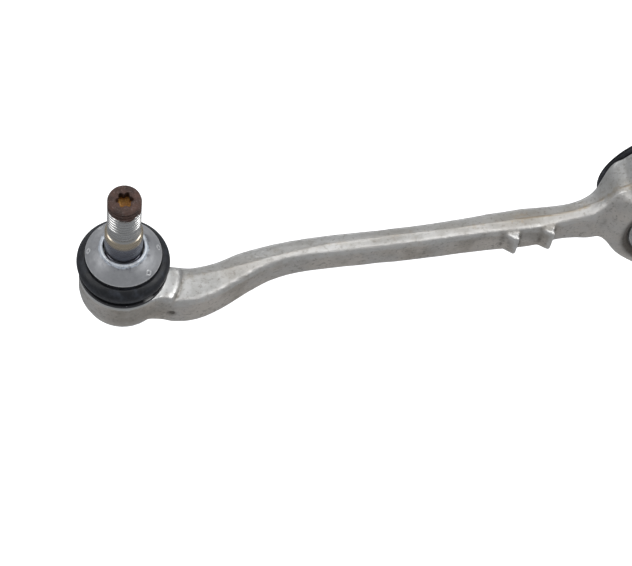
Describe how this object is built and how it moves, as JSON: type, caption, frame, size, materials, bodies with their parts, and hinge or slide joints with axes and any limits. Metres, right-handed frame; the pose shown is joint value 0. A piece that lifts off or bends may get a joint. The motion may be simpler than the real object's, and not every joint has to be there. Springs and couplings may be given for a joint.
{
  "type": "suspension control arm",
  "caption": "Forged aluminium suspension control arm: an S-bent arm with a booted ball joint at one end and a large fluid-filled rubber bushing at the other.",
  "frame": {"origin": "centre of the bushing, on its bolt axis, midway across the eye", "axes": "+Y along the bushing's bolt; +Z along the ball stud towards its thread; -X towards the ball joint"},
  "size_m": [0.3099, 0.0514, 0.1027],
  "materials": {
    "forged_aluminium": "matte forged skin, stained",
    "stud_steel": "machined, rusted at the tip",
    "seat_plastic": "moulded acetal",
    "black_rubber": "moulded rubber, dusty",
    "plated_steel": "zinc plated",
    "black_spring_steel": "black coated spring steel",
    "insert_steel": "turned",
    "zinc_disc": "satin zinc plate",
    "core_aluminium": "machined",
    "channel_plastic": "glass-filled nylon"
  },
  "bodies": {
    "arm": {"arm_forging": "forged_aluminium", "ball_seat": "seat_plastic", "seat_preload_ring": "black_rubber", "cover_seal_ring": "black_rubber", "closing_cover": "plated_steel", "boot_clamp_lower": "black_spring_steel", "bushing_outer_sleeve": "plated_steel", "bushing_cage": "plated_steel", "bushing_rubber": "black_rubber", "bushing_lip": "black_rubber", "fluid_channel_outer_half": "channel_plastic", "fluid_channel_inner_half": "channel_plastic", "travel_stop_outer": "channel_plastic", "travel_stop_inner": "channel_plastic"},
    "boot": {"dust_boot": "black_rubber"},
    "boot_collar": {"cover_disc": "zinc_disc", "boot_neck_insert": "insert_steel", "boot_clamp_upper": "black_spring_steel"},
    "stud": {"ball_stud": "stud_steel"},
    "bushing_core": {"bushing_inner_sleeve": "core_aluminium"}
  },
  "joints": [
    {"name": "stud_tilt_sideways", "type": "hinge", "parent": "arm", "child": "boot", "pos_m": [-0.252, -0.01075, 0], "axis": [1, 0, 0], "range_deg": [-18, 18], "deforming": ["dust_boot"]},
    {"name": "stud_tilt_lengthways", "type": "hinge", "parent": "boot", "child": "boot_collar", "pos_m": [-0.252, -0.01075, 0], "axis": [0, 1, 0], "range_deg": [-18, 18]},
    {"name": "stud_spin", "type": "hinge", "parent": "boot_collar", "child": "stud", "pos_m": [-0.252, -0.01075, 0], "axis": [0, 0, 1], "continuous": true},
    {"name": "bushing_twist", "type": "hinge", "parent": "arm", "child": "bushing_core", "pos_m": [0, 0, 0], "axis": [0, 1, 0], "range_deg": [-20, 20], "stiffness_Nm_per_rad": 8}
  ]
}
